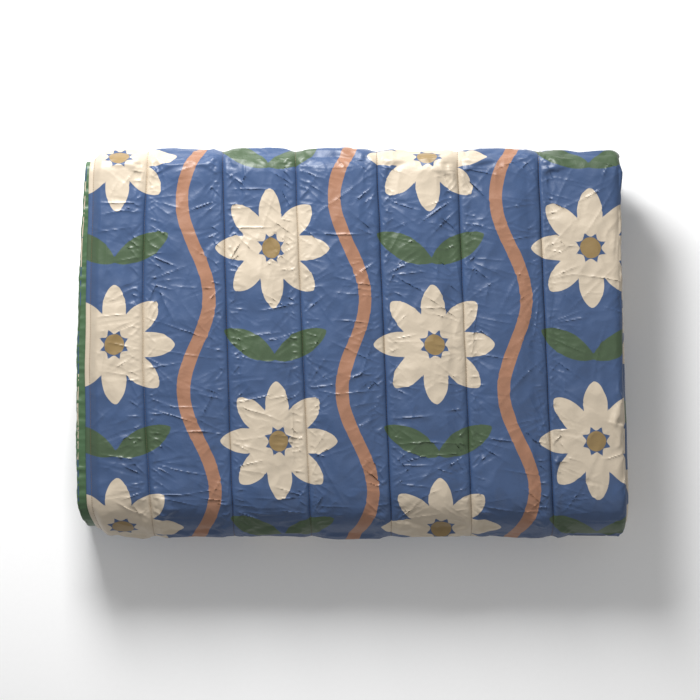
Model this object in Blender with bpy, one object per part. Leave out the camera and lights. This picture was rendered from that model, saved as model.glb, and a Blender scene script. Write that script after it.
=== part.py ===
"""Quilted camp blanket, folded three times into a flat rectangular bundle.

The blanket is one long padded strip: a printed face fabric, a sheet of insulation and a
plain lining, quilted together by thirteen lengthwise seams. It is folded in half along its
middle seam (the side fold, at +X), so that the strip is a pair of plies with the lining
inside. The pair is then folded in half across its length (the cross fold, at +Y), and in
half again (the final fold, at -Y), which makes four sections of two plies each.

Every layer is therefore the same thing: a cross-section in X, carried along one spiral path
in the YZ plane. The final fold is the hinge. The path is cut there at half height, so that
the upper two sections can swing over on the outside of the fold and lie beside the lower
two. Units are metres, +Z is up, and the origin is under the middle of the bundle.
"""

import math

import bmesh
import bpy
from mathutils import Vector

# Bundle
BUNDLE_DEPTH = 0.489         # outside of the final fold to outside of the cross fold
CHANNEL_PITCH = 0.1005       # from one quilting seam to the next
EDGE_CHANNEL = 0.073         # from the side hem to the first seam
FOLD_CHANNEL = 0.0985        # from the last seam before the side fold to the fold's outside
SEAMS_PER_PLY = 6            # on each ply, beside the middle seam that lies in the fold
INNER_HEM_SETBACK = 0.012    # end hem of the inner lower section, behind the cross fold
OUTER_HEM_SETBACK = 0.020    # end hem of the outer lower section, behind the cross fold

# Layers, measured from the middle of the pair of plies
PAIR_LOFT = 0.0305           # thickness of a pair of plies at its fullest
SECTION_GAP = 0.001          # air between neighbouring sections
PLY_GAP = 0.001              # air between the two linings
FABRIC = 0.0005              # thickness of either fabric
PINCHED_INSULATION = 0.0012  # insulation left under a seam
CLEARANCE = 0.0003           # between layers that touch, and across the final fold

# Channels, folds and hems
SEAM_SLOPE = 0.016           # from a seam to the flat of its channel
FOLD_BULGE = 0.014           # the last channel starts to round this far inside the fold
FOLD_NOTCH = 0.006           # depth of the notch that the middle seam draws in
HEM_WIDTH = 0.010            # turned hem without insulation
END_TAPER = 0.026            # from an end hem to full loft
BATT_START = 0.5             # the insulation's edge, as a share of the slope beside a side hem
THREAD_RADIUS = 0.0004

# Steps that each bend is built from
FINAL_FOLD_STEPS = 3         # for each quarter turn, the same in both wraps so that they nest
CROSS_FOLD_STEPS = 4         # for the half turn at +Y

# What follows from them
PLY = PAIR_LOFT / 2
WIDTH = EDGE_CHANNEL + (SEAMS_PER_PLY - 1) * CHANNEL_PITCH + FOLD_CHANNEL
HEM_X = -WIDTH / 2
FOLD_X = WIDTH / 2
APEX_X = FOLD_X - FOLD_NOTCH
SEAMS_X = [HEM_X + EDGE_CHANNEL + k * CHANNEL_PITCH for k in range(SEAMS_PER_PLY)]
LINING_INSIDE = PLY_GAP / 2
LINING_OUTSIDE = LINING_INSIDE + FABRIC
INSULATION_INSIDE = LINING_OUTSIDE + CLEARANCE
FACE_AT_HEM = LINING_OUTSIDE + CLEARANCE + FABRIC
UNDER_FACE = FABRIC + CLEARANCE
FACE_AT_SEAM = INSULATION_INSIDE + PINCHED_INSULATION + UNDER_FACE
THREAD_OFFSET = CLEARANCE + THREAD_RADIUS

SECTION_PITCH = PAIR_LOFT + SECTION_GAP
HEIGHT = 3 * SECTION_PITCH + PAIR_LOFT
MIDDLE_Z = HEIGHT / 2
OUTER_BEND = 1.5 * SECTION_PITCH
INNER_BEND = 0.5 * SECTION_PITCH
FINAL_FOLD_CENTRE = Vector((-BUNDLE_DEPTH / 2 + MIDDLE_Z, MIDDLE_Z))
CROSS_FOLD_CENTRE = Vector((BUNDLE_DEPTH / 2 - INNER_BEND - PLY, MIDDLE_Z + SECTION_PITCH))
HINGE = Vector((0.0, -BUNDLE_DEPTH / 2, MIDDLE_Z))


# --- materials -----------------------------------------------------------------------------

def material(name, colour, roughness):
    made = bpy.data.materials.new(name)
    made.use_nodes = True
    shader = made.node_tree.nodes["Principled BSDF"]
    shader.inputs["Base Color"].default_value = (*colour, 1.0)
    shader.inputs["Roughness"].default_value = roughness
    shader.inputs["Metallic"].default_value = 0.0
    made.diffuse_color = (*colour, 1.0)
    return made


# --- the spiral path -----------------------------------------------------------------------
# A station is (place, outward, loft): a point in YZ, the direction in YZ in which the first
# ply's face looks, and how full the channels are there, from 0 at a hem to 1.

def bend(centre, radius, start, end, steps, first_ply_outside):
    """Stations round part of a circle. Angles are in degrees, 0 at +Y and 90 at +Z."""
    side = 1.0 if first_ply_outside else -1.0
    stations = []
    for k in range(steps + 1):
        angle = math.radians(start + (end - start) * k / steps)
        radial = Vector((math.cos(angle), math.sin(angle)))
        stations.append((centre + radial * radius, radial * side, 1.0))
    return stations


def end_hem(edge, z, facing, to_edge):
    """Stations from full loft to an end hem at +Y, or only to where the hem begins."""
    places = [(edge - HEM_WIDTH - END_TAPER, 1.0), (edge - HEM_WIDTH, 0.0)]
    if to_edge:
        places.append((edge, 0.0))
    return [(Vector((y, z)), Vector((0.0, facing)), loft) for y, loft in places]


def cut_back(station, rise):
    """The same station moved in Z, to leave the hinge's clearance."""
    place, outward, loft = station
    return (place + Vector((0.0, rise)), outward, loft)


def upper_path():
    """Final fold at half height, over the top section, the cross fold, and back."""
    path = bend(FINAL_FOLD_CENTRE, OUTER_BEND, 180, 90, FINAL_FOLD_STEPS, True)
    path += bend(CROSS_FOLD_CENTRE, INNER_BEND, 90, -90, CROSS_FOLD_STEPS, True)
    path += bend(FINAL_FOLD_CENTRE, INNER_BEND, 90, 180, FINAL_FOLD_STEPS, False)
    path[0] = cut_back(path[0], CLEARANCE / 2)
    path[-1] = cut_back(path[-1], CLEARANCE / 2)
    return path


def lower_outer_path(to_edge=True):
    """Final fold at half height, and along the bottom section to its end hem."""
    path = bend(FINAL_FOLD_CENTRE, OUTER_BEND, 180, 270, FINAL_FOLD_STEPS, True)
    path[0] = cut_back(path[0], -CLEARANCE / 2)
    return path + end_hem(BUNDLE_DEPTH / 2 - OUTER_HEM_SETBACK, PLY, -1.0, to_edge)


def lower_inner_path(to_edge=True):
    """The inner wrap at half height, and along the second section to its end hem."""
    path = bend(FINAL_FOLD_CENTRE, INNER_BEND, 180, 270, FINAL_FOLD_STEPS, False)
    path[0] = cut_back(path[0], -CLEARANCE / 2)
    z = PLY + SECTION_PITCH
    return path + end_hem(BUNDLE_DEPTH / 2 - INNER_HEM_SETBACK, z, 1.0, to_edge)


# --- cross-sections of the pair of plies ---------------------------------------------------
# A section is a closed outline of (x, n) points, n outward from the middle of the pair.

def both_plies(points):
    """A line down the first ply to the fold's apex, and back along the second ply."""
    return points + [Vector((p.x, -p.y)) for p in reversed(points[:-1])]


def face_line(loft):
    """The printed face's outside: hem, channels pinched at each seam, side fold."""
    crest = FACE_AT_SEAM + (PLY - FACE_AT_SEAM) * loft
    start = HEM_X + HEM_WIDTH
    line = [Vector((HEM_X, FACE_AT_HEM)), Vector((start, FACE_AT_HEM))]
    line.append(line[-1].lerp(Vector((start + SEAM_SLOPE, crest)), BATT_START))
    for seam in SEAMS_X:
        line += [Vector((start + SEAM_SLOPE, crest)), Vector((seam - SEAM_SLOPE, crest))]
        line.append(Vector((seam, FACE_AT_SEAM)))
        start = seam
    line += [Vector((start + SEAM_SLOPE, crest)), Vector((FOLD_X - FOLD_BULGE, crest))]
    full = [Vector((FOLD_X - 0.003, 0.74 * PLY)), Vector((FOLD_X, 0.42 * PLY))]
    flat = flat_line(FOLD_X, APEX_X, FACE_AT_SEAM)[1:-1]
    line += [a.lerp(b, loft) for a, b in zip(flat, full)]
    return line + [Vector((APEX_X, 0.0))]


def flat_line(left, apex, half):
    """A plain flat U, half metres either side of the middle, round at its apex."""
    return [Vector((left, half)), Vector((apex - half, half)),
            Vector((apex - 0.29 * half, 0.71 * half)), Vector((apex, 0.0))]


def inset(line, depth):
    """A line of both plies moved inward by depth, mitred at its corners."""
    moved = []
    for k, point in enumerate(line):
        before = (point - line[k - 1]).normalized() if k else None
        after = (line[k + 1] - point).normalized() if k + 1 < len(line) else None
        before = before or after
        after = after or before
        a = Vector((before.y, -before.x))
        b = Vector((after.y, -after.x))
        moved.append(point + (a + b) * (depth / (1.0 + a.dot(b))))
    return moved


def face_section(loft):
    outside = both_plies(face_line(loft))
    return outside + list(reversed(inset(outside, FABRIC)))


def lining_section(_loft):
    apex = APEX_X - UNDER_FACE - PINCHED_INSULATION - CLEARANCE
    outside = both_plies(flat_line(HEM_X, apex, LINING_OUTSIDE))
    inside = both_plies(flat_line(HEM_X, apex - FABRIC, LINING_INSIDE))
    return outside + list(reversed(inside))


def insulation_section(loft):
    """Fills the channels between the two fabrics, and starts inside the side hem."""
    under_face = inset(both_plies(face_line(loft)), UNDER_FACE)[2:-2]
    apex = APEX_X - UNDER_FACE - PINCHED_INSULATION
    inside = both_plies(flat_line(under_face[0].x, apex, INSULATION_INSIDE))
    return under_face + list(reversed(inside))


def thread_section(x, n):
    """A square on its corner round one seam's thread."""
    r = THREAD_RADIUS
    return [Vector((x - r, n)), Vector((x, n + r)), Vector((x + r, n)), Vector((x, n - r))]


# --- building ------------------------------------------------------------------------------

def add_object(name, mesh_builder, finish, parent):
    """Turns a bmesh in bundle coordinates into a closed object under its parent empty."""
    bmesh.ops.recalc_face_normals(mesh_builder, faces=mesh_builder.faces)
    bmesh.ops.translate(mesh_builder, verts=mesh_builder.verts, vec=-parent.location)
    mesh = bpy.data.meshes.new(name)
    mesh_builder.to_mesh(mesh)
    mesh_builder.free()
    mesh.materials.append(finish)
    made = bpy.data.objects.new(name, mesh)
    bpy.context.collection.objects.link(made)
    made.parent = parent
    return made


def loft_rings(rings):
    """A closed body through a list of equal rings of points, capped at both ends.

    Every quad is split from the near ring's lower X to the far ring's higher X, so that the
    twisted quads of a taper run alike on every layer and the layers stay clear.
    """
    builder = bmesh.new()
    loops = [[builder.verts.new(point) for point in ring] for ring in rings]
    for near, far in zip(loops, loops[1:]):
        for k in range(len(near)):
            a, b = near[k], near[(k + 1) % len(near)]
            d, c = far[k], far[(k + 1) % len(near)]
            if a.co.x <= b.co.x:
                builder.faces.new((a, b, c))
                builder.faces.new((a, c, d))
            else:
                builder.faces.new((a, b, d))
                builder.faces.new((b, c, d))
    builder.faces.new(loops[0])
    builder.faces.new(loops[-1])
    return builder


def sweep(name, section, path, finish, parent):
    """Carries section(loft) along a path of stations."""
    rings = []
    for place, outward, loft in path:
        ring = []
        for point in section(loft):
            y, z = place + outward * point.y
            ring.append(Vector((point.x, y, z)))
        rings.append(ring)
    return add_object(name, loft_rings(rings), finish, parent)


def end_hem_thread(name, y, z, finish, parent):
    """Thread along one end hem: down the first ply, round the side fold, and back."""
    n = FACE_AT_SEAM + THREAD_OFFSET
    left = HEM_X + HEM_WIDTH + SEAM_SLOPE
    line = both_plies(flat_line(left, APEX_X + THREAD_OFFSET, n))
    outer = inset(line, -THREAD_RADIUS)
    inner = inset(line, THREAD_RADIUS)
    rings = []
    for a, middle, b in zip(outer, line, inner):
        rings.append([
            Vector((a.x, y, z + a.y)),
            Vector((middle.x, y + THREAD_RADIUS, z + middle.y)),
            Vector((b.x, y, z + b.y)),
            Vector((middle.x, y - THREAD_RADIUS, z + middle.y)),
        ])
    return add_object(name, loft_rings(rings), finish, parent)


def seam_places():
    """(x, n) of every quilting thread, in order round the pair from hem to hem."""
    n = FACE_AT_SEAM + THREAD_OFFSET
    first_ply = [(x, n) for x in SEAMS_X]
    middle = [(APEX_X + THREAD_OFFSET, 0.0)]
    second_ply = [(x, -n) for x in reversed(SEAMS_X)]
    return first_ply + middle + second_ply


def empty(name, location):
    made = bpy.data.objects.new(name, None)
    made.location = location
    bpy.context.collection.objects.link(made)
    return made


def build():
    for old in list(bpy.data.objects):
        bpy.data.objects.remove(old, do_unlink=True)

    lower_half = empty("lower_half", Vector((0.0, 0.0, 0.0)))
    upper_half = empty("upper_half", HINGE)
    spans = [
        ("upper", upper_half, upper_path(), upper_path()),
        ("lower_outer", lower_half, lower_outer_path(), lower_outer_path(to_edge=False)),
        ("lower_inner", lower_half, lower_inner_path(), lower_inner_path(to_edge=False)),
    ]
    hem_n = FACE_AT_HEM + THREAD_OFFSET

    for span, parent, path, inside_hem in spans:
        face = material(f"printed_taffeta_{span}", (0.115, 0.195, 0.36), 0.42)
        lining = material(f"lining_taffeta_{span}", (0.10, 0.21, 0.10), 0.45)
        batt = material(f"polyester_batt_{span}", (0.86, 0.86, 0.84), 0.95)
        sweep(f"face_fabric_{span}", face_section, path, face, parent)
        sweep(f"lining_{span}", lining_section, path, lining, parent)
        sweep(f"insulation_{span}", insulation_section, inside_hem, batt, parent)

        for number, (x, n) in enumerate(seam_places(), start=1):
            name = f"quilting_thread_{number:02d}_{span}"
            thread = material(name, (0.09, 0.14, 0.25), 0.6)
            sweep(name, lambda _loft, x=x, n=n: thread_section(x, n), inside_hem, thread, parent)

        for number, n in ((1, hem_n), (2, -hem_n)):
            name = f"side_hem_thread_{number}_{span}"
            thread = material(name, (0.08, 0.17, 0.08), 0.6)
            x = HEM_X + HEM_WIDTH / 2
            sweep(name, lambda _loft, x=x, n=n: thread_section(x, n), path, thread, parent)

    ends = [("outer", OUTER_HEM_SETBACK, PLY), ("inner", INNER_HEM_SETBACK, PLY + SECTION_PITCH)]
    for which, setback, z in ends:
        y = BUNDLE_DEPTH / 2 - setback - HEM_WIDTH / 2
        name = f"end_hem_thread_{which}"
        thread = material(name, (0.08, 0.17, 0.08), 0.6)
        end_hem_thread(name, y, z, thread, lower_half)


build()
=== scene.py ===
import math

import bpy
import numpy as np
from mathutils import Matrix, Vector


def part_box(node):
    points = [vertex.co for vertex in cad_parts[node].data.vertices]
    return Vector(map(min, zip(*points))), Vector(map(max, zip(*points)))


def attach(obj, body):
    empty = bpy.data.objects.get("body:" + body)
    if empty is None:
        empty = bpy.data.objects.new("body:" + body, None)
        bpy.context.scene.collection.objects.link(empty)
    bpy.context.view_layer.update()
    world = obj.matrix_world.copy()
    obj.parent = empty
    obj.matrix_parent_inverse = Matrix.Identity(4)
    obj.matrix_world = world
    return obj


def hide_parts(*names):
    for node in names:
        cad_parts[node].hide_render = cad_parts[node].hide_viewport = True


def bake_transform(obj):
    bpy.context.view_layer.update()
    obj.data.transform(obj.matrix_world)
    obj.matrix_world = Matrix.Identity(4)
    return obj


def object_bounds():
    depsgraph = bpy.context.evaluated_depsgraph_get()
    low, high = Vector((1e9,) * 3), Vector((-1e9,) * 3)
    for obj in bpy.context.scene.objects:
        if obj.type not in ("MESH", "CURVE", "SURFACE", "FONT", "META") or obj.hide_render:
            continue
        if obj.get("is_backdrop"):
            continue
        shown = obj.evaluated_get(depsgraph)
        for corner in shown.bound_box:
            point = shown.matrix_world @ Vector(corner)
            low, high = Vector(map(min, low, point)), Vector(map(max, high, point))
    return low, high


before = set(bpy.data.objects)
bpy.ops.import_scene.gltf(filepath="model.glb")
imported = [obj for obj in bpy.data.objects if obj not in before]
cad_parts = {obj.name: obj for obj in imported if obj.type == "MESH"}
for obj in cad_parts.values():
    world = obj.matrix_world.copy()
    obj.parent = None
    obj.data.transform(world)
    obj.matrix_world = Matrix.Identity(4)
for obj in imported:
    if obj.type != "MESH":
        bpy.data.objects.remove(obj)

# Looks of a quilted camp blanket, folded three times: a printed taffeta face, a plain green lining,
# quilting stitched in lengthwise seams, and the soft studio it lies in.
#
# Every sheet of the folded blanket is one grid: a cross-section through its channels (columns), carried
# along the folded path of its ply (rows). x runs across the bundle, n is the height above the middle of
# a pair of plies, and (u, v) is the place on the flat cloth, which the print and the weave follow.

MM = 0.001

# --- what the frame gives ------------------------------------------------------------------

low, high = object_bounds()
LEFT, RIGHT = low.x, high.x
FRONT, BACK = low.y, high.y
HEIGHT = high.z
MIDDLE = HEIGHT / 2
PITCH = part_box("face_fabric_lower_inner")[0].z      # from one pair of plies to the next
PLY = (HEIGHT - 3 * PITCH) / 2                      # half the loft of a pair
FINAL_Y = FRONT + MIDDLE                            # centre line of the final fold's bends
CROSS_Y = BACK - PITCH / 2 - PLY                    # centre line of the cross fold
SEAMS = [sum(c.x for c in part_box(f"quilting_thread_{k:02d}_upper")) / 2 for k in range(1, 7)]
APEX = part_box("quilting_thread_07_upper")[0].x      # the middle seam, in the side fold
OUTER_HEM_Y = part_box("face_fabric_lower_outer")[1].y
INNER_HEM_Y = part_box("face_fabric_lower_inner")[1].y

# --- camera --------------------------------------------------------------------------------

VIEW_WIDTH = 0.868           # what the picture spans at the bundle's top
CAMERA_OFFSET = (-0.0045, -0.0068)
camera_data = bpy.data.cameras.new("camera")
camera_data.lens = 135
camera_data.sensor_width = 36
camera = bpy.data.objects.new("camera", camera_data)
distance = VIEW_WIDTH * camera_data.lens / camera_data.sensor_width
camera.location = (*CAMERA_OFFSET, HEIGHT + distance)
camera_data.clip_end = 20
bpy.context.collection.objects.link(camera)
bpy.context.scene.camera = camera


# --- smooth random fields ------------------------------------------------------------------

def noise(x, y, seed):
    """Gradient noise, about -1 to 1, one feature per unit: at each corner of a square lattice a random
    direction dotted with the way there, faded between corners by 6t^5 - 15t^4 + 10t^3."""
    angle = np.random.default_rng(seed).uniform(0, 2 * math.pi, (64, 64))
    xi, yi = np.floor(x).astype(int), np.floor(y).astype(int)
    xf, yf = x - xi, y - yi
    fade_x = xf ** 3 * (xf * (xf * 6 - 15) + 10)
    fade_y = yf ** 3 * (yf * (yf * 6 - 15) + 10)

    def corner(i, j):
        a = angle[(yi + j) % 64, (xi + i) % 64]
        return np.cos(a) * (xf - i) + np.sin(a) * (yf - j)

    near = corner(0, 0) * (1 - fade_x) + corner(1, 0) * fade_x
    far = corner(0, 1) * (1 - fade_x) + corner(1, 1) * fade_x
    return 1.5 * (near * (1 - fade_y) + far * fade_y)


def smooth(a, b, x):
    """0 before a, 1 after b, and 3t^2 - 2t^3 between."""
    t = np.clip((x - a) / (b - a), 0, 1)
    return t * t * (3 - 2 * t)


# --- the print -----------------------------------------------------------------------------
# A plain print of this script's own on the flat cloth, in millimetres: even daisies of equal petals on
# a half-drop grid, a pair of leaves between them, and upright waves. Each shape is a row of touching
# discs: points along its middle line and the width at each.

DROP = (200.0, 240.0)        # from one column of daisies to the next, and along a column
PETALS = 8
PETAL_LENGTH = 62.0
PETAL_WIDTH = 31.0
DAISY_EYE = 26.0             # across the round middle of a daisy
LEAF = (78.0, 30.0)          # length and width
LEAF_APART = 0.42            # from a pair's middle to each leaf's, in leaf lengths
LEAF_RISE = math.radians(28)
WAVE = (17.0, 16.0)          # how far a wave swings to each side, and how wide it is
COLUMNS, ROWS = 4, 3
REPEAT = (COLUMNS * DROP[0], ROWS * DROP[1])     # one repeat of the print, across and along


def leaf(middle, turn, length, width):
    """A leaf pointed at both ends: discs whose width grows as sin(pi t) from end to end."""
    t = np.linspace(0, 1, 60)
    along = (t - 0.5) * (length - 2)
    return np.column_stack([middle[0] + along * math.cos(turn), middle[1] + along * math.sin(turn),
                            width * np.sin(math.pi * t) ** 0.8])


def daisy(middle):
    """Equal petals, evenly round the middle."""
    away = DAISY_EYE / 2 + PETAL_LENGTH / 2
    turns = [2 * math.pi * k / PETALS for k in range(PETALS)]
    return [leaf((middle[0] + away * math.cos(turn), middle[1] + away * math.sin(turn)), turn,
                 PETAL_LENGTH, PETAL_WIDTH) for turn in turns]


def wave(x):
    """An upright wave: a sine along the column, one to each daisy."""
    y = np.linspace(0, REPEAT[1], 500)
    return np.column_stack([x + WAVE[0] * np.sin(2 * math.pi * y / DROP[1]), y, 0 * y + WAVE[1]])


DAISIES = [(DROP[0] * (column + 0.5), DROP[1] * (row + 0.5 * (column % 2)))
           for column in range(COLUMNS) for row in range(ROWS)]
LEAF_PAIRS = [(x, y + DROP[1] / 2) for x, y in DAISIES]
CREAM = [petal for middle in DAISIES for petal in daisy(middle)]
OCHRE = [np.array([[x, y, DAISY_EYE]]) for x, y in DAISIES]
GREEN = [leaf((x + side * LEAF[0] * LEAF_APART, y), side * LEAF_RISE, *LEAF)
         for x, y in LEAF_PAIRS for side in (-1, 1)]
TERRACOTTA = [wave(DROP[0] * column) for column in range(COLUMNS)]
RASTER = 2.0                 # from one point of the raster to the next
INK_REACH = 14.0             # how far from an outline its distance is worked out


def ink(shapes):
    """How far inside one colour's shapes each point of a raster of one repeat is: the most, over the
    discs, of half the width less the distance."""
    size = (int(REPEAT[0] / RASTER), int(REPEAT[1] / RASTER))
    field = np.full(size, -INK_REACH)
    for shape in shapes:
        edge = shape[:, 2:].max() / 2 + INK_REACH
        first = np.floor((shape[:, :2].min(0) - edge) / RASTER).astype(int)
        last = np.ceil((shape[:, :2].max(0) + edge) / RASTER).astype(int)
        i, j = np.meshgrid(np.arange(first[0], last[0]), np.arange(first[1], last[1]), indexing="ij")
        inside = np.full(i.shape, -INK_REACH)
        for x, y, width in shape:
            np.maximum(inside, width / 2 - np.hypot(i * RASTER - x, j * RASTER - y), out=inside)
        np.maximum.at(field, (i % size[0], j % size[1]), np.clip(inside, -INK_REACH, INK_REACH))
    return field


def read_ink(field, u, v):
    """The raster between its points, bilinear, at a place on the cloth in metres."""
    x, y = u / MM / RASTER, v / MM / RASTER
    i, j = np.floor(x).astype(int), np.floor(y).astype(int)
    fx, fy = x - i, y - j
    nx, ny = field.shape
    near = field[i % nx, j % ny] * (1 - fx) + field[(i + 1) % nx, j % ny] * fx
    far = field[i % nx, (j + 1) % ny] * (1 - fx) + field[(i + 1) % nx, (j + 1) % ny] * fx
    return near * (1 - fy) + far * fy


INKS = {name: ink(shapes) for name, shapes in
        (("green", GREEN), ("terracotta", TERRACOTTA), ("ochre", OCHRE), ("cream", CREAM))}


# --- the folded path -----------------------------------------------------------------------
# A leg is a straight run ("run", y0, y1, z, side) or a bend ("bend", y, z, radius, start, end, side),
# angles in degrees with 0 at the cross fold's side and 90 up. side is 1 where the first ply is on
# the outside of a bend, or above a run, and -1 where it is inside or below.

TOP_Z = HEIGHT - PLY
UNDER_TOP_Z = TOP_Z - PITCH
OVER_BOTTOM_Z = PLY + PITCH
OUTER_BEND, INNER_BEND = 1.5 * PITCH, 0.5 * PITCH


def follow(legs, face, step, v_start):
    """Places along the legs, about step apart at a face this far out from the middle of the pair.
    Gives place (y, z), outward (y, z) and v, the length along the face."""
    place, outward, v = [], [], []
    at = v_start
    for number, leg in enumerate(legs):
        if leg[0] == "run":
            _, y0, y1, z, side = leg
            length = abs(y1 - y0)
            t = np.linspace(0, 1, max(2, round(length / step)) + 1)
            p = np.stack([y0 + (y1 - y0) * t, np.full_like(t, z)], 1)
            o = np.stack([0 * t, np.full_like(t, side)], 1)
        else:
            _, y, z, radius, start, end, side = leg
            length = max(radius + side * face, 0.002) * math.radians(abs(end - start))
            turns = max(abs(end - start) / 12, length / step)
            t = np.linspace(0, 1, max(2, round(turns)) + 1)
            angle = np.radians(start + (end - start) * t)
            radial = np.stack([np.cos(angle), np.sin(angle)], 1)
            p = np.array([y, z]) + radial * radius
            o = radial * side
        skip = 1 if number else 0
        place.append(p[skip:])
        outward.append(o[skip:])
        v.append(at + length * t[skip:])
        at += length
    return np.concatenate(place), np.concatenate(outward), np.concatenate(v)


# --- the cross-section ---------------------------------------------------------------------

SEAM_FACE = 3.2 * MM         # the face's height over a seam
HEM_FACE = 2.3 * MM
HEM_ROLL = 1.4 * MM
TOPSTITCH = 6.5 * MM         # the hem's line of stitches, from its edge


def channel(t, fullness=2.7, shoulder=0.58):
    """A channel's height between two seams: (1 - |2t - 1|^fullness)^shoulder."""
    return (1 - np.abs(2 * t - 1) ** fullness) ** shoulder


def spread(count):
    """0 to 1, closer together near both ends, where a seam's groove is tight."""
    t = np.linspace(0, 1, count)
    return t - 0.11 * np.sin(2 * math.pi * t)


def edge_channel(count):
    """(x, n) from the rolled hem at the open side to the first seam."""
    turn = np.linspace(-0.5 * math.pi, 0.5 * math.pi, 7)[:-1]
    roll_x = LEFT + HEM_ROLL * (1 - np.cos(turn))
    roll_n = 0.5 * HEM_FACE + 0.5 * HEM_FACE * np.sin(turn)
    t = spread(count)
    x = LEFT + HEM_ROLL + (SEAMS[0] - LEFT - HEM_ROLL) * t
    rise = channel(t, 2.5, 0.6)
    inner = np.minimum(rise, smooth(TOPSTITCH * 0.7, TOPSTITCH * 3.2, x - LEFT) ** 0.7)
    base = HEM_FACE + (SEAM_FACE - HEM_FACE) * t
    n = base + (PLY - base) * inner
    n += 0.5 * MM * np.exp(-((x - LEFT - HEM_ROLL - 2 * MM) / (1.8 * MM)) ** 2)
    return np.concatenate([roll_x, x]), np.concatenate([roll_n, n])


def fold_channel(count):
    """(x, n) from the last seam before the side fold, round the bulge to the middle seam."""
    run = RIGHT - 15 * MM - SEAMS[-1]
    t = np.linspace(0, 1, 40)
    flat_n = SEAM_FACE + (PLY - SEAM_FACE) * channel(0.5 * t)
    flat = np.stack([SEAMS[-1] + run * t, flat_n], 1)
    turn = np.linspace(0, 0.5 * math.pi, 24)[1:]
    bulge = np.stack([RIGHT - 15 * MM + 15 * MM * np.sin(turn) ** 0.9,
                      0.42 * PLY + 0.58 * PLY * np.cos(turn) ** 0.85], 1)
    turn = np.linspace(0, 0.5 * math.pi, 12)[1:]
    tuck = np.stack([APEX + (RIGHT - APEX) * np.cos(turn), 0.42 * PLY * (1 - np.sin(turn) ** 1.2)], 1)
    line = np.concatenate([flat, bulge, tuck])
    along = np.concatenate([[0], np.cumsum(np.linalg.norm(np.diff(line, axis=0), axis=1))])
    at = spread(count) * along[-1]
    return np.interp(at, along, line[:, 0]), np.interp(at, along, line[:, 1]), at


def columns(per_channel, first, last):
    """The cross-section from channel first up to, not including, channel last. Gives x, n, u and the
    distance to the nearest seam."""
    xs, ns, us, gaps = [], [], [], []
    for k in range(first, last):
        if k == 0:
            x, n = edge_channel(max(12, round(per_channel * 0.75)))
            u = x.copy()
            u[:6] = LEFT + HEM_ROLL * np.linspace(-2.2, 0.9, 6)
            gap = np.abs(SEAMS[0] - x)
        elif k == 6:
            x, n, along = fold_channel(per_channel + per_channel // 4)
            u = SEAMS[-1] + along
            gap = np.minimum(along, along[-1] - along)
        else:
            t = spread(per_channel)
            x = SEAMS[k - 1] + (SEAMS[k] - SEAMS[k - 1]) * t
            n = SEAM_FACE + (PLY - SEAM_FACE) * channel(t)
            u = x
            gap = np.minimum(x - SEAMS[k - 1], SEAMS[k] - x)
        skip = 1 if k > first else 0
        for into, values in ((xs, x), (ns, n), (us, u), (gaps, gap)):
            into.append(values[skip:])
    return [np.concatenate(part) for part in (xs, ns, us, gaps)]


# How the seams of a ply stray sideways from their straight lines, in millimetres, at the cross fold,
# in the middle and at the final fold: the hem, the six seams, and the side fold.
TOP_STRAY = np.array([(8, 3, 4), (7, 2, 10), (1, 6, 12), (-9, -1, 8), (-8, 0, 8), (-8, 0, 8),
                      (-8, 0, 9), (-4, -1, 4)]) * MM
UNDER_STRAY = np.array([(3, -6, -7), (2, 0, 3), (0, 2, 5), (-4, 0, 3), (-4, 0, 4), (-4, 0, 4),
                        (-4, 0, 4), (-8, 0, 6)]) * MM

CORNER_ROUND = 12 * MM       # how far the hem draws in where it goes round the final fold


def stray(x, y, v, table, seed):
    """The sideways shift at (x, y): the table, smooth along y and straight between seams."""
    knots = np.array([LEFT, *SEAMS, RIGHT])
    t = np.clip((CROSS_Y - y) / (CROSS_Y - FINAL_Y), -0.08, 1.15)
    a, b, c = table[:, 0, None], table[:, 1, None], table[:, 2, None]
    at_knots = a + (4 * b - 3 * a - c) * t + (2 * a + 2 * c - 4 * b) * t * t
    at_knots[0] += CORNER_ROUND * smooth(0.25, 1.0, (FINAL_Y - y) / MIDDLE)
    wander = np.stack([noise(v / 0.06 + 7 * k, 0 * v + k, seed) for k in range(len(knots))])
    at_knots = at_knots + 0.9 * MM * wander
    side = np.clip(np.searchsorted(knots, x) - 1, 0, len(knots) - 2)
    share = np.clip((x - knots[side]) / (knots[side + 1] - knots[side]), 0, 1)
    return (at_knots[side] * (1 - share[:, None]) + at_knots[side + 1] * share[:, None]).T


# --- creases -------------------------------------------------------------------------------

def add_creases(height, u, v, creases, depth, width, seed):
    """Adds straight creases to a grid of heights. A crease is (middle u, middle v, angle, length), a line
    of cloth pinched up into a ridge: depth (exp(-d/w) - 0.5 exp(-d/3w)) across it, fading along it."""
    rng = np.random.default_rng(seed)
    for cu, cv, turn, long in creases:
        du, dv = math.cos(turn), math.sin(turn)
        tall = depth * rng.uniform(0.3, 1.0) * rng.choice([1.0, 1.0, -0.8])
        thin = width * rng.uniform(0.7, 1.4)
        bow = rng.uniform(-0.12, 0.12)
        reach = long / 2 + 6 * width
        i0, i1 = np.searchsorted(v, (cv - reach, cv + reach))
        j0, j1 = np.searchsorted(u, (cu - reach, cu + reach))
        if i1 - i0 < 2 or j1 - j0 < 2:
            continue
        gu, gv = u[None, j0:j1] - cu, v[i0:i1, None] - cv
        along = gu * du + gv * dv
        across = gv * du - gu * dv + bow * along ** 2 / long
        fade = np.clip(1 - (2 * along / long) ** 2, 0, 1)
        far = np.abs(across) / (thin * (0.6 + 0.4 * fade))
        height[i0:i1, j0:j1] += tall * fade * (np.exp(-far) - 0.5 * np.exp(-far / 3))


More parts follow.
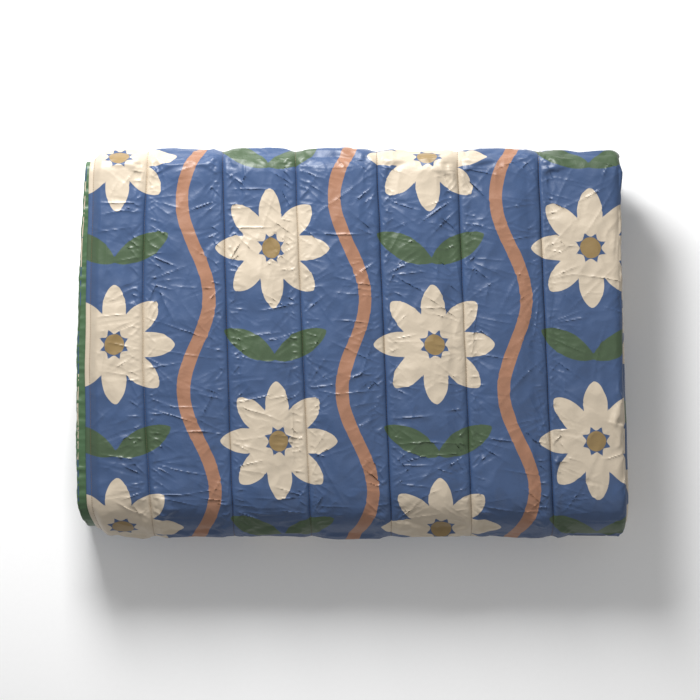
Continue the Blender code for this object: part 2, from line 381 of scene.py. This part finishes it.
def scattered(u, v, per_square_metre, length, seed):
    """Creases anywhere, any way."""
    rng = np.random.default_rng(seed)
    count = int(per_square_metre * abs(u[-1] - u[0]) * abs(v[-1] - v[0]))
    return np.column_stack([rng.uniform(u[0], u[-1], count), rng.uniform(v[0], v[-1], count),
                            rng.uniform(0, math.pi, count), length * rng.uniform(0.5, 1.6, count)])


def from_seams(v, spacing, count, length, seed):
    """Fans of creases out of the seams: every spacing along each side of a seam, a few from one point."""
    rng = np.random.default_rng(seed)
    made = []
    for seam in SEAMS:
        for side in (-1, 1):
            for spot in np.arange(v[0], v[-1], spacing) + rng.uniform(0, spacing):
                lean = rng.uniform(-0.9, 0.9)
                spot += rng.uniform(-0.5, 0.5) * spacing
                for _ in range(count):
                    long = length * rng.uniform(0.5, 1.5)
                    out = 2.5 * MM + long / 2
                    across, along = side * out * math.cos(lean), out * math.sin(lean)
                    made.append((seam + across, spot + along, lean * side, long))
                    lean += rng.uniform(0.15, 0.4) * rng.choice([-1, 1])
    return made


def rumple(u, v, gap, seed, strength, fine):
    """Heights of all the wrinkles on a grid of cloth: a slow swell, facets that meet in soft valleys,
    long creases, short crinkles, and the gathers and fans that run out of each seam."""
    gu, gv = np.meshgrid(u, v)
    height = 1.3 * MM * noise(gu / 0.045, gv / 0.060, seed)
    height = height + 0.6 * MM * noise(gu / 0.02, gv / 0.025, seed + 1)
    bent_u = gu + 6 * MM * noise(gu / 0.03, gv / 0.03, seed + 7)
    bent_v = gv + 6 * MM * noise(gu / 0.03, gv / 0.03, seed + 8)
    height -= 1.5 * MM * np.abs(noise(bent_u / 0.022, bent_v / 0.030, seed + 9))
    add_creases(height, u, v, scattered(u, v, 1100, 62 * MM, seed), 2.2 * MM, 1.45 * MM, seed + 2)
    if fine:
        short = scattered(u, v, 3000, 18 * MM, seed + 3)
        fans = from_seams(v, 34 * MM, 4, 44 * MM, seed + 4)
        gathers = from_seams(v, 7 * MM, 1, 15 * MM, seed + 5)
        add_creases(height, u, v, short, 0.8 * MM, 1.1 * MM, seed + 3)
        add_creases(height, u, v, fans, 2.1 * MM, 1.35 * MM, seed + 4)
        add_creases(height, u, v, gathers, 2.6 * MM, 1.3 * MM, seed + 5)
    calm = smooth(0, 4 * MM, gap)[None, :]
    return strength * height * (0.15 + 0.85 * calm)


# --- making meshes -------------------------------------------------------------------------

def grid_mesh(name, points, flip=False):
    """An object from a grid of points, rows by columns, shaded smooth, at the origin."""
    rows, cols = points.shape[:2]
    index = np.arange(rows * cols).reshape(rows, cols)
    quads = np.stack([index[:-1, :-1], index[:-1, 1:], index[1:, 1:], index[1:, :-1]], 2).reshape(-1, 4)
    if flip:
        quads = quads[:, ::-1]
    mesh = bpy.data.meshes.new(name)
    mesh.vertices.add(rows * cols)
    mesh.vertices.foreach_set("co", points.astype(np.float32).ravel())
    mesh.loops.add(quads.size)
    mesh.loops.foreach_set("vertex_index", quads.astype(np.int32).ravel())
    mesh.polygons.add(len(quads))
    mesh.polygons.foreach_set("loop_start", np.arange(0, quads.size, 4, dtype=np.int32))
    mesh.update(calc_edges=True)
    mesh.shade_smooth()
    made = bpy.data.objects.new(name, mesh)
    bpy.context.collection.objects.link(made)
    return made


def set_attribute(piece, name, values, kind="FLOAT"):
    field = piece.data.attributes.new(name, kind, "POINT")
    key = "vector" if kind == "FLOAT_VECTOR" else "value"
    field.data.foreach_set(key, np.ascontiguousarray(values, np.float32).ravel())


def grid_normals(points):
    """Unit normals of a grid, from the cross product of its two directions."""
    normal = np.cross(np.gradient(points, axis=1), np.gradient(points, axis=0))
    return normal / np.maximum(np.linalg.norm(normal, axis=2, keepdims=True), 1e-12)


def lay(place, outward, x, n):
    """World points of a grid: place + outward n in YZ, and x. x and n are rows by columns."""
    points = np.empty((*x.shape, 3))
    points[..., 0] = x
    points[..., 1:] = place[:, None] + outward[:, None] * n[..., None]
    return points


# --- materials -----------------------------------------------------------------------------

def linear(hex_colour):
    """An sRGB hex colour as linear RGBA."""
    parts = [int(hex_colour[i:i + 2], 16) / 255 for i in (1, 3, 5)]
    return (*[c / 12.92 if c <= 0.04045 else ((c + 0.055) / 1.055) ** 2.4 for c in parts], 1.0)


def node(tree, kind, links=(), **settings):
    """Adds a node, sets its properties and sockets, and links (from socket, input) pairs. A setting
    whose name is i and a number goes to that input."""
    made = tree.nodes.new(kind)
    for key, value in settings.items():
        if key[0] == "i" and key[1:].isdigit():
            made.inputs[int(key[1:])].default_value = value
        else:
            setattr(made, key, value)
    for source, into in links:
        tree.links.new(source, made.inputs[into])
    return made


def cloth_material(name, colours, roughness, crinkle):
    """A woven synthetic cloth. colours is the ground's, then (ink attribute, colour) pairs. The cloth
    attribute is the place on the flat cloth in metres."""
    material = bpy.data.materials.new(name)
    material.use_nodes = True
    tree = material.node_tree
    shader = tree.nodes["Principled BSDF"]
    cloth = node(tree, "ShaderNodeAttribute", attribute_name="cloth").outputs["Vector"]
    ground, *inks = colours
    colour = None
    for attribute, hex_colour in inks:
        value = node(tree, "ShaderNodeAttribute", attribute_name=attribute).outputs["Fac"]
        edge = node(tree, "ShaderNodeMapRange", [(value, 0)], i1=-0.25, i2=0.25)
        mix = node(tree, "ShaderNodeMix", [(edge.outputs[0], 0)], data_type="RGBA")
        mix.inputs[7].default_value = linear(hex_colour)
        if colour is None:
            mix.inputs[6].default_value = linear(ground)
        else:
            tree.links.new(colour, mix.inputs[6])
        colour = mix.outputs[2]
    cloudy = node(tree, "ShaderNodeTexNoise", [(cloth, "Vector")])
    cloudy.inputs["Scale"].default_value = 1 / (60 * MM)
    cloudy.inputs["Detail"].default_value = 3
    shade = node(tree, "ShaderNodeMapRange", [(cloudy.outputs[0], 0)], i1=0.3, i2=0.7, i3=0.93, i4=1.06)
    tone = node(tree, "ShaderNodeHueSaturation", [(shade.outputs[0], "Value")])
    if colour is None:
        tone.inputs["Color"].default_value = linear(ground)
    else:
        tree.links.new(colour, tone.inputs["Color"])
    tree.links.new(tone.outputs[0], shader.inputs["Base Color"])
    worn = node(tree, "ShaderNodeTexNoise", [(cloth, "Vector")])
    worn.inputs["Scale"].default_value = 1 / (25 * MM)
    gloss = node(tree, "ShaderNodeMapRange", [(worn.outputs[0], 0)], i1=0.3, i2=0.7,
                 i3=roughness - 0.05, i4=roughness + 0.06)
    tree.links.new(gloss.outputs[0], shader.inputs["Roughness"])
    fine = node(tree, "ShaderNodeTexNoise", [(cloth, "Vector")])
    fine.inputs["Scale"].default_value = 1 / (7 * MM)
    fine.inputs["Detail"].default_value = 4
    fine.inputs["Distortion"].default_value = 0.6
    bump = node(tree, "ShaderNodeBump", [(fine.outputs[0], "Height")])
    bump.inputs["Distance"].default_value = crinkle
    bump.inputs["Strength"].default_value = 1.0
    # taffeta's slubs, drawn 1.2 mm apart because the real weave is too fine to show
    slubs = node(tree, "ShaderNodeMapping", [(cloth, "Vector")])
    slubs.inputs["Scale"].default_value = (1 / (1.2 * MM), 1 / (9 * MM), 1)
    weave = node(tree, "ShaderNodeTexNoise", [(slubs.outputs[0], "Vector")])
    weave.inputs["Scale"].default_value = 1
    fabric = node(tree, "ShaderNodeBump", [(weave.outputs[0], "Height"), (bump.outputs[0], "Normal")])
    fabric.inputs["Distance"].default_value = 0.05 * MM
    tree.links.new(fabric.outputs[0], shader.inputs["Normal"])
    shader.inputs["IOR"].default_value = 1.5
    return material


# Printed polyester taffeta, calendered so that down or fibre can't pass: a satin gloss on crisp creases.
PRINTED_TAFFETA = cloth_material(
    "printed_polyester_taffeta",
    ["#384D70", ("green", "#3F5139"), ("terracotta", "#936A53"), ("ochre", "#836D46"), ("cream", "#B9AC99")],
    0.43, 0.3 * MM)
# Plain-dyed polyester taffeta, the same cloth in one colour.
LINING_TAFFETA = cloth_material("dyed_polyester_taffeta", ["#3F5B3D"], 0.42, 0.35 * MM)


def plain_material(name, hex_colour, roughness, grain_depth=0.1):
    """A plain material, its shade varied by grain_depth each way over a few millimetres."""
    material = bpy.data.materials.new(name)
    material.use_nodes = True
    tree = material.node_tree
    shader = tree.nodes["Principled BSDF"]
    place = node(tree, "ShaderNodeTexCoord").outputs["Object"]
    grain = node(tree, "ShaderNodeTexNoise", [(place, "Vector")])
    grain.inputs["Scale"].default_value = 1 / (6 * MM)
    shade = node(tree, "ShaderNodeMapRange", [(grain.outputs[0], 0)], i1=0.3, i2=0.7,
                 i3=1 - grain_depth, i4=1 + grain_depth)
    tone = node(tree, "ShaderNodeHueSaturation", [(shade.outputs[0], "Value")])
    tone.inputs["Color"].default_value = linear(hex_colour)
    tree.links.new(tone.outputs[0], shader.inputs["Base Color"])
    shader.inputs["Roughness"].default_value = roughness
    return material


# Spun polyester sewing thread, dull and fibrous.
BROWN_THREAD = plain_material("spun_polyester_thread_brown", "#6F553C", 0.6)
# Matt white painted board.
STUDIO_WHITE = plain_material("matt_white_board", "#FAFAFA", 0.9, 0.005)


# --- the faces -----------------------------------------------------------------------------

FOLD_DEG = 4                 # how far short of the middle the hidden wraps stop, at the outer bend
INNER_FOLD_DEG = 14          # and at the inner bend


def outer_path(side):
    """From under the final fold, over the top, and round the cross fold."""
    return [("bend", FINAL_Y, MIDDLE, OUTER_BEND, 270, 90, side), ("run", FINAL_Y, CROSS_Y, TOP_Z, side),
            ("bend", CROSS_Y, TOP_Z - PITCH / 2, INNER_BEND, 90, -90, side)]


def upper_path(side):
    """All of a ply that turns with the upper half, from the middle of one fold to the other."""
    return [("bend", FINAL_Y, MIDDLE, OUTER_BEND, 180 - FOLD_DEG, 90, side),
            ("run", FINAL_Y, CROSS_Y, TOP_Z, side),
            ("bend", CROSS_Y, TOP_Z - PITCH / 2, INNER_BEND, 90, -90, side),
            ("run", CROSS_Y, FINAL_Y, UNDER_TOP_Z, -side),
            ("bend", FINAL_Y, MIDDLE, INNER_BEND, 90, 180 - INNER_FOLD_DEG, -side)]


def lower_outer_path(side):
    return [("run", OUTER_HEM_Y, FINAL_Y, PLY, -side),
            ("bend", FINAL_Y, MIDDLE, OUTER_BEND, 270, 180 + FOLD_DEG, side)]


def lower_inner_path(side):
    return [("bend", FINAL_Y, MIDDLE, INNER_BEND, 180 + INNER_FOLD_DEG, 270, -side),
            ("run", FINAL_Y, INNER_HEM_Y, OVER_BOTTOM_Z, side)]


FOLD_FILL = 0.78             # how much of a seam's groove the layers within push out round a fold


def lift_edge(x):
    """0 at the open side's hem and at the side fold's seam, 1 between, so that both keep their edges."""
    return smooth(LEFT, LEFT + 25 * MM, x) * (1 - smooth(RIGHT - 24 * MM, RIGHT - 4 * MM, x))


def limit(n, cap, softness):
    """Heights eased under a cap: cap - s log(1 + e^((cap - n) / s))."""
    return cap - softness * np.logaddexp(0, (cap - n) / softness)


def face_grid(path, step, first, last, per_channel, table, seed, wrinkle=1.0, fine=False,
              cap=None, v_start=0.0, hem_at=None, flatten=None):
    """The points of a face and its places on the cloth. n is the cross-section's, its swell varied along
    each channel, and its wrinkles added. hem_at is where the row of a rolled end hem is, 0 or -1.
    flatten gives, from the rows' y, how far the seams' grooves are filled. plain is the padded
    cross-section along the path before any swell, wrinkle, stray or simulation."""
    place, outward, v = follow(path, PLY, step, v_start)
    x, n, u, gap = columns(per_channel, first, last)
    plain = lay(place, outward, *np.broadcast_arrays(x, n, place[:, :1])[:2])
    lift = np.clip((n - HEM_FACE) / (PLY - HEM_FACE), 0, 1)
    gu, gv = np.meshgrid(u, v)
    swell = 1 + 0.05 * noise(gu / 0.1, gv / 0.11, seed + 20)
    n = HEM_FACE * np.minimum(n / HEM_FACE, 1) + np.maximum(n - HEM_FACE, 0) * swell
    n = n + rumple(u, v, gap, seed, wrinkle, fine) * lift ** 0.6
    round_fold = smooth(0.3, 1.0, np.abs(outward[:, 0]))[:, None] * FOLD_FILL
    n = n * (1 - round_fold * lift_edge(x)) + (PLY - 1 * MM) * round_fold * lift_edge(x)
    if flatten is not None:
        filled = flatten(place[:, 0])[:, None] * lift_edge(x)
        n = n * (1 - filled) + (PLY - 0.8 * MM) * filled
    n = limit(n, cap if cap else PLY + 3.5 * MM, 0.5 * MM)
    if hem_at is not None:
        run = np.abs(v - v[hem_at])[:, None]
        rise = smooth(TOPSTITCH * 0.7, TOPSTITCH * 3.4, run) ** 0.7
        n = HEM_FACE * np.minimum(n / HEM_FACE, 1) * np.sqrt(np.clip(run / HEM_ROLL, 0.0, 1)) + np.maximum(
            n - HEM_FACE, 0) * rise
    points = lay(place, outward, x + stray(x, place[:, 0], v, table, seed), n)
    if flatten is not None:
        past = np.minimum(points[..., 1] - FINAL_Y, 0)
        fullness = SEAM_FACE + (PLY - SEAM_FACE) * columns(per_channel, first, last)[1] / PLY
        short = (PLY - fullness) * (1 - FOLD_FILL) / MIDDLE
        points[..., 1] -= past * (1 - (1 - short) * np.maximum(lift_edge(x), 0.02))
    return points, gu, gv, plain


def finish_cloth(piece, gu, gv, material, inks=True):
    """Puts the cloth's places, its print and its material on a piece."""
    set_attribute(piece, "cloth", np.stack([gu, gv, 0 * gu], 2), "FLOAT_VECTOR")
    if inks:
        for name, field in INKS.items():
            set_attribute(piece, name, read_ink(field, gu, gv))
    piece.data.materials.append(material)


GRIDS = {}                   # each face's points and outward normals, for its stitches


def make_face(name, path, declare=True, with_pieces=(), **settings):
    """A printed face from face_grid, turned so that it faces outward."""
    points, gu, gv, plain = face_grid(path, **settings)
    mid = points.shape[0] // 2, points.shape[1] // 2
    _, outward, _ = follow(path, PLY, settings["step"], 0)
    facing = grid_normals(points)[mid][1:] @ outward[mid[0]]
    piece = grid_mesh(name, points, flip=facing > 0)
    GRIDS[name] = points, grid_normals(points) * np.sign(facing)
    finish_cloth(piece, gu, gv, PRINTED_TAFFETA)
    return piece


FINE_STEP = 1.45 * MM        # the printed top's grid, fine enough for its creases
FINE_COLUMNS = 74
COVER_V = FINAL_Y - math.pi * (OUTER_BEND + PLY)     # the place on the cloth under the final fold


COVER = dict(step=FINE_STEP, first=0, last=7, per_channel=FINE_COLUMNS, table=TOP_STRAY, v_start=COVER_V)
SETTLE_COLUMNS = 21          # of the simulated cloth, in each channel
SETTLE_ROWS = 138
SETTLE_MOST = 3.5 * MM       # how far the simulation may move the cover


def cover_grid():
    """The whole printed top in one fine grid, from under the final fold to under the cross fold."""
    return face_grid(outer_path(1), seed=3, fine=True, **COVER)


def settled(points, pinned):
    """How far each point of a coarse grid of cloth moves when it is let go: larger than its frame by
    a few per cent, blown up by the filling, and held at its seams and edges."""
    sample = grid_mesh("loose_cloth", points, flip=True)
    group = sample.vertex_groups.new(name="held")
    group.add([int(i) for i in np.flatnonzero(pinned.ravel())], 1.0, "REPLACE")
    cloth = sample.modifiers.new("cloth", "CLOTH")
    fabric = cloth.settings
    fabric.quality = 4
    fabric.mass = 0.05
    fabric.tension_stiffness = 25
    fabric.compression_stiffness = 25
    fabric.shear_stiffness = 8
    fabric.bending_stiffness = 0.02
    fabric.air_damping = 3
    fabric.vertex_group_mass = "held"
    fabric.shrink_min = -0.05
    fabric.shrink_max = -0.05
    fabric.use_pressure = True
    fabric.uniform_pressure_force = 4
    fabric.effector_weights.gravity = 0
    cloth.collision_settings.use_collision = False
    cloth.point_cache.frame_start = 1
    cloth.point_cache.frame_end = SETTLE_FRAMES
    for frame_number in range(1, SETTLE_FRAMES + 1):
        bpy.context.scene.frame_set(frame_number)
    shape = sample.evaluated_get(bpy.context.evaluated_depsgraph_get()).to_mesh()
    moved = np.empty(points.size, np.float32)
    shape.vertices.foreach_get("co", moved)
    bpy.context.scene.frame_set(1)
    mesh = sample.data
    bpy.data.objects.remove(sample)
    bpy.data.meshes.remove(mesh)
    return moved.reshape(points.shape) - points


SETTLE_FRAMES = 20


def between(values, rows, cols, row_count, col_count):
    """Values on some rows and columns of a grid carried to all of them, along straight lines."""
    all_rows, all_cols = np.arange(row_count), np.arange(col_count)
    wide = np.stack([[np.interp(all_cols, cols, line) for line in values[..., k]] for k in range(3)], 2)
    return np.stack([np.stack([np.interp(all_rows, rows, line) for line in wide[..., k].T], 1)
                     for k in range(3)], 2)


def soften(values):
    """Each value with its neighbours, weighed 1-2-1 both ways."""
    for axis in (0, 1):
        padded = np.concatenate([np.take(values, [0], axis), values, np.take(values, [-1], axis)], axis)
        near = [np.take(padded, range(i, i + values.shape[axis]), axis) for i in range(3)]
        values = (near[0] + 2 * near[1] + near[2]) / 4
    return values


cover, cover_u, cover_v, cover_plain = cover_grid()
calm = face_grid(outer_path(1), seed=3, wrinkle=0.3, **COVER)[0]
seam_at = [len(columns(FINE_COLUMNS, 0, k)[2]) - 1 for k in range(1, 7)]
stops = [0, *seam_at, cover.shape[1] - 1]
cols = [np.round(np.linspace(a, b, SETTLE_COLUMNS)) for a, b in zip(stops, stops[1:])]
cols = np.unique(np.concatenate(cols)).astype(int)
rows = np.unique(np.round(np.linspace(0, cover.shape[0] - 1, SETTLE_ROWS))).astype(int)
held = np.zeros((len(rows), len(cols)), bool)
held[[0, -1]] = True
held[:, [0, 1, -1]] = True
held[:, np.isin(cols, seam_at)] = True
shift = settled(calm[np.ix_(rows, cols)], held)
out = -grid_normals(cover)
shift = (between(shift, rows, cols, *cover.shape[:2]) * out).sum(2, keepdims=True)
x, _, _, gap = columns(FINE_COLUMNS, 0, 7)
clear = (smooth(1 * MM, 16 * MM, gap) * smooth(LEFT + 6 * MM, LEFT + 30 * MM, x))[None, :, None]
cover = cover + out * soften(np.clip(shift, -SETTLE_MOST, SETTLE_MOST)) * clear
cuts = [0]
for k in (2, 4, 6):
    _, _, reach, _ = columns(FINE_COLUMNS, 0, k)
    cuts.append(len(reach) - 1)
cuts.append(cover.shape[1] - 1)
cover_normals = grid_normals(cover)
for k in range(4):
    part = slice(cuts[k], cuts[k + 1] + 1)
    strip = grid_mesh(f"cover_{k + 1}", cover[:, part], flip=True)
    finish_cloth(strip, cover_u[:, part], cover_v[:, part], PRINTED_TAFFETA)
    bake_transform(strip)
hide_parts("face_fabric_upper", "insulation_upper")

HIDDEN = dict(first=0, last=7, wrinkle=0.8, cap=PLY + 0.4 * MM)
FIRST_PLY = dict(table=TOP_STRAY, **HIDDEN)
SECOND_PLY = dict(table=UNDER_STRAY, **HIDDEN)


def filled_by_fold(y):
    """0 over the stack and 1 where the face reaches past the inner bend to the hinge."""
    return 1 - smooth(FINAL_Y + 2 * MM, FINAL_Y + 40 * MM, y)


bottom = make_face("cover_bottom", [("run", OUTER_HEM_Y, FINAL_Y, PLY, -1)], step=4.5 * MM, per_channel=24,
                   seed=41, hem_at=0, v_start=COVER_V - (OUTER_HEM_Y - FINAL_Y), **FIRST_PLY)
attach(bottom, "lower_half")
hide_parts("face_fabric_lower_outer", "insulation_lower_outer")

# the first ply's short turns inside the inner bend, which close the stack's ends there
turn_upper = make_face("turn_upper", [("bend", FINAL_Y, MIDDLE, INNER_BEND, 90, 180 - INNER_FOLD_DEG, -1)],
                       declare=False, step=5 * MM, per_channel=20, seed=33, v_start=0.5, **FIRST_PLY)
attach(turn_upper, "upper_half")
turn_lower = make_face("turn_lower", [("bend", FINAL_Y, MIDDLE, INNER_BEND, 180 + INNER_FOLD_DEG, 270, -1)],
                       declare=False, step=5 * MM, per_channel=20, seed=34, v_start=0.55, **FIRST_PLY)
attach(turn_lower, "lower_half")
middle_upper = make_face("middle_upper", [("run", CROSS_Y, FRONT + 3 * MM, UNDER_TOP_Z, -1)],
                         with_pieces=[turn_upper], step=3.5 * MM, per_channel=30, seed=52, v_start=0.31,
                         flatten=filled_by_fold, **FIRST_PLY)
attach(middle_upper, "upper_half")
middle_lower = make_face("middle_lower", [("run", FRONT + 3 * MM, INNER_HEM_Y, OVER_BOTTOM_Z, 1)],
                         with_pieces=[turn_lower], step=3.5 * MM, per_channel=30, seed=63, v_start=0.74,
                         hem_at=-1, flatten=filled_by_fold, **FIRST_PLY)
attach(middle_lower, "lower_half")
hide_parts("face_fabric_lower_inner", "insulation_lower_inner")

under_upper = make_face("under_upper", upper_path(-1), step=5 * MM, per_channel=20, seed=74,
                        v_start=0.1, **SECOND_PLY)
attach(under_upper, "upper_half")
under_outer = make_face("under_lower_outer", lower_outer_path(-1), step=5 * MM, per_channel=20, seed=85,
                        v_start=0.2, hem_at=0, **SECOND_PLY)
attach(under_outer, "lower_half")
under_inner = make_face("under_lower_inner", lower_inner_path(-1), step=5 * MM, per_channel=20, seed=96,
                        v_start=0.3, hem_at=-1, **SECOND_PLY)
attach(under_inner, "lower_half")


# --- the linings ---------------------------------------------------------------------------

LINING = 0.75 * MM           # the lining's height from the middle of a pair


def make_lining(name, path, step, seed):
    """The green lining of both plies as one sheet: in at the first ply's hem, round the side fold, and
    out to the second ply's hem, where its edge rolls over the printed face's."""
    place, outward, v = follow(path, 0, step, seed * 0.1)
    near = np.linspace(0, 40 * MM, 26)
    inner = APEX - 2 * MM
    first_x = LEFT + 1 * MM + np.linspace(0, 1, 30) * (inner - LEFT - 1 * MM)
    first_n = np.full_like(first_x, LINING)
    back_x = np.concatenate([np.linspace(inner, LEFT + 44 * MM, 30), LEFT + near[::-1]])
    back_n = np.full_like(back_x, -LINING)
    turn = np.linspace(0.5 * math.pi, 1.5 * math.pi, 8)[1:]
    roll_x = LEFT + 1.3 * MM * np.cos(turn)
    roll_n = -LINING - 1.3 * MM + 1.3 * MM * np.sin(turn)
    x = np.concatenate([first_x, back_x, roll_x])
    n = np.concatenate([first_n, back_n, roll_n])
    second = np.arange(len(x)) >= len(first_x)
    y = place[:, 0]
    shift = np.where(second[None, :], stray(x, y, v, UNDER_STRAY, 5), stray(x, y, v, TOP_STRAY, 3))
    edge = np.exp(-np.abs(x - LEFT - 2 * MM) / (9 * MM)) * second
    gx, gv = np.meshgrid(x, v)
    ripple = noise(gx / 0.03, gv / 0.007, seed) + 0.6 * noise(gx / 0.012, gv / 0.004, seed + 1)
    plain = lay(place, outward, *np.broadcast_arrays(x, n, place[:, :1])[:2])
    n = n[None, :] + edge[None, :] * (1.3 * MM * ripple + 0.3 * MM)
    wobble = noise(gv / 0.02, gx / 0.2, seed + 2) + 0.7 * noise(gv / 0.007, gx / 0.05, seed + 3)
    shift = shift + edge[None, :] * 1.1 * MM * wobble
    points = lay(place, outward, x[None, :] + shift, n)
    piece = grid_mesh(name, points, flip=False)
    along = np.concatenate([[0], np.cumsum(np.abs(np.diff(x)))])
    gu, gv = np.meshgrid(along, v)
    finish_cloth(piece, gu, gv, LINING_TAFFETA, inks=False)
    return piece


lining_upper = make_lining("lining_sheet_upper", upper_path(1), 2.5 * MM, 5)
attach(lining_upper, "upper_half")
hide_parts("lining_upper")
lining_outer = make_lining("lining_sheet_lower_outer", lower_outer_path(1), 3 * MM, 6)
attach(lining_outer, "lower_half")
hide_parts("lining_lower_outer")
lining_inner = make_lining("lining_sheet_lower_inner", lower_inner_path(1), 3 * MM, 7)
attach(lining_inner, "lower_half")
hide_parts("lining_lower_inner")


# --- the stitching -------------------------------------------------------------------------

STITCH = 3.0 * MM            # from one stitch to the next
THREAD = 0.3 * MM            # the thread's radius


def tube(name, line, radius, sides=5):
    """A round tube along a line of points: at each, a ring of points radius away in the plane across it."""
    way = np.gradient(line, axis=0)
    way /= np.linalg.norm(way, axis=1, keepdims=True)
    side = np.cross(way, np.array([1.0, 0.0, 0.0]))
    side /= np.maximum(np.linalg.norm(side, axis=1, keepdims=True), 1e-9)
    other = np.cross(way, side)
    turn = np.linspace(0, 2 * math.pi, sides + 1)
    ring = side[:, None] * np.cos(turn)[None, :, None] + other[:, None] * np.sin(turn)[None, :, None]
    return grid_mesh(name, line[:, None] + radius * ring, flip=False)


def seam_line(points, out, lift, wave=0.45 * MM):
    """A line of stitches along a row of points on the cloth: each rises out of it and dips in again, as
    a cosine."""
    length = np.concatenate([[0], np.cumsum(np.linalg.norm(np.diff(points, axis=0), axis=1))])
    at = np.arange(0, length[-1], STITCH / 6 if wave else 5 * MM)
    middle = np.stack([np.interp(at, length, points[:, k]) for k in range(3)], 1)
    way = np.stack([np.interp(at, length, out[:, k]) for k in range(3)], 1)
    return middle + way * (wave * np.cos(2 * math.pi * at / STITCH) + lift)[:, None]


def stitching(name, points, out, nodes, body, fine=False):
    """One line of stitches, in place of CAD threads. It goes with a body, or, like the cover, is baked in
    place with no body.
    """
    line = seam_line(points, out, 0.15 * MM if fine else 0.1 * MM, 0.45 * MM if fine else 0)
    piece = tube(name, line, THREAD, 5 if fine else 4)
    piece.data.materials.append(BROWN_THREAD)
    if body:
        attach(piece, body)
    else:
        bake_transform(piece)
    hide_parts(*nodes)


def seam_columns(count):
    """The columns of a face where its topstitch, its six seams and the side fold's seam lie."""
    x, _, reach, _ = columns(count, 0, 7)
    hem = 6 + int(np.argmin(np.abs(x[6:60] - LEFT - TOPSTITCH)))
    return [hem, *(len(columns(count, 0, k)[2]) - 1 for k in range(1, 7)), len(x) - 1]


def stitch_face(grid, count, names, body=None, fine=False):
    """All the lines of stitches along one face. names gives the CAD threads' names in the same order."""
    points, out = grid
    for column, thread in zip(seam_columns(count), names):
        if thread:
            stitching(f"stitches_{thread}", points[:, column], out[:, column], [thread], body, fine)


def thread_names(part, hem, first):
    """The CAD threads of one face: the hem's, six seams' and, on the first ply, the side fold's."""
    seams = [f"quilting_thread_{k:02d}_{part}" for k in (range(1, 7) if first else range(13, 7, -1))]
    return [f"side_hem_thread_{hem}_{part}", *seams, f"quilting_thread_07_{part}" if first else None]


stitch_face((cover, -cover_normals), FINE_COLUMNS, thread_names("upper", 1, True), fine=True)
stitch_face(GRIDS["cover_bottom"], 24, thread_names("lower_outer", 1, True), "lower_half")
stitch_face(GRIDS["middle_lower"], 30, thread_names("lower_inner", 1, True), "lower_half")
stitch_face(GRIDS["under_upper"], 20, thread_names("upper", 2, False), "upper_half")
stitch_face(GRIDS["under_lower_outer"], 20, thread_names("lower_outer", 2, False), "lower_half")
stitch_face(GRIDS["under_lower_inner"], 20, thread_names("lower_inner", 2, False), "lower_half")
for name, grid, row in (("outer", "cover_bottom", 2), ("inner", "middle_lower", -3)):
    points, out = GRIDS[grid]
    stitching(f"stitches_end_hem_{name}", points[row, 8:-6], out[row, 8:-6], [f"end_hem_thread_{name}"],
              "lower_half")


# --- the studio ----------------------------------------------------------------------------

STUDIO_FLOOR = 6.0           # metres across
floor_mesh = bpy.data.meshes.new("floor")
half = STUDIO_FLOOR / 2
floor_mesh.from_pydata([(-half, -half, 0), (half, -half, 0), (half, half, 0), (-half, half, 0)], [],
                       [(0, 1, 2, 3)])
floor = bpy.data.objects.new("floor", floor_mesh)
floor.data.materials.append(STUDIO_WHITE)
bpy.context.collection.objects.link(floor)
floor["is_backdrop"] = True


def lamp(name, place, aim, size, power):
    """A soft square light at a place, turned to an aim."""
    data = bpy.data.lights.new(name, "AREA")
    data.shape = "SQUARE"
    data.size = size
    data.energy = power
    made = bpy.data.objects.new(name, data)
    made.location = place
    way = np.array(aim, float) - np.array(place, float)
    flat = math.hypot(way[0], way[1])
    made.rotation_euler = (math.atan2(flat, -way[2]), 0, math.atan2(way[1], way[0]) - math.pi / 2)
    bpy.context.collection.objects.link(made)
    made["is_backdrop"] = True


lamp("key", (-0.36, 1.0, 0.9), (0, 0, 0.1), 0.5, 30)
lamp("fill", (0.9, -1.2, 2.4), (0, 0, 0), 2.0, 7)
bpy.context.scene.view_settings.view_transform = "Standard"
world = bpy.data.worlds.new("studio")
world.use_nodes = True
world.node_tree.nodes["Background"].inputs[0].default_value = (1, 1, 1, 1)
world.node_tree.nodes["Background"].inputs[1].default_value = 0.33
bpy.context.scene.world = world

low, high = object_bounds()
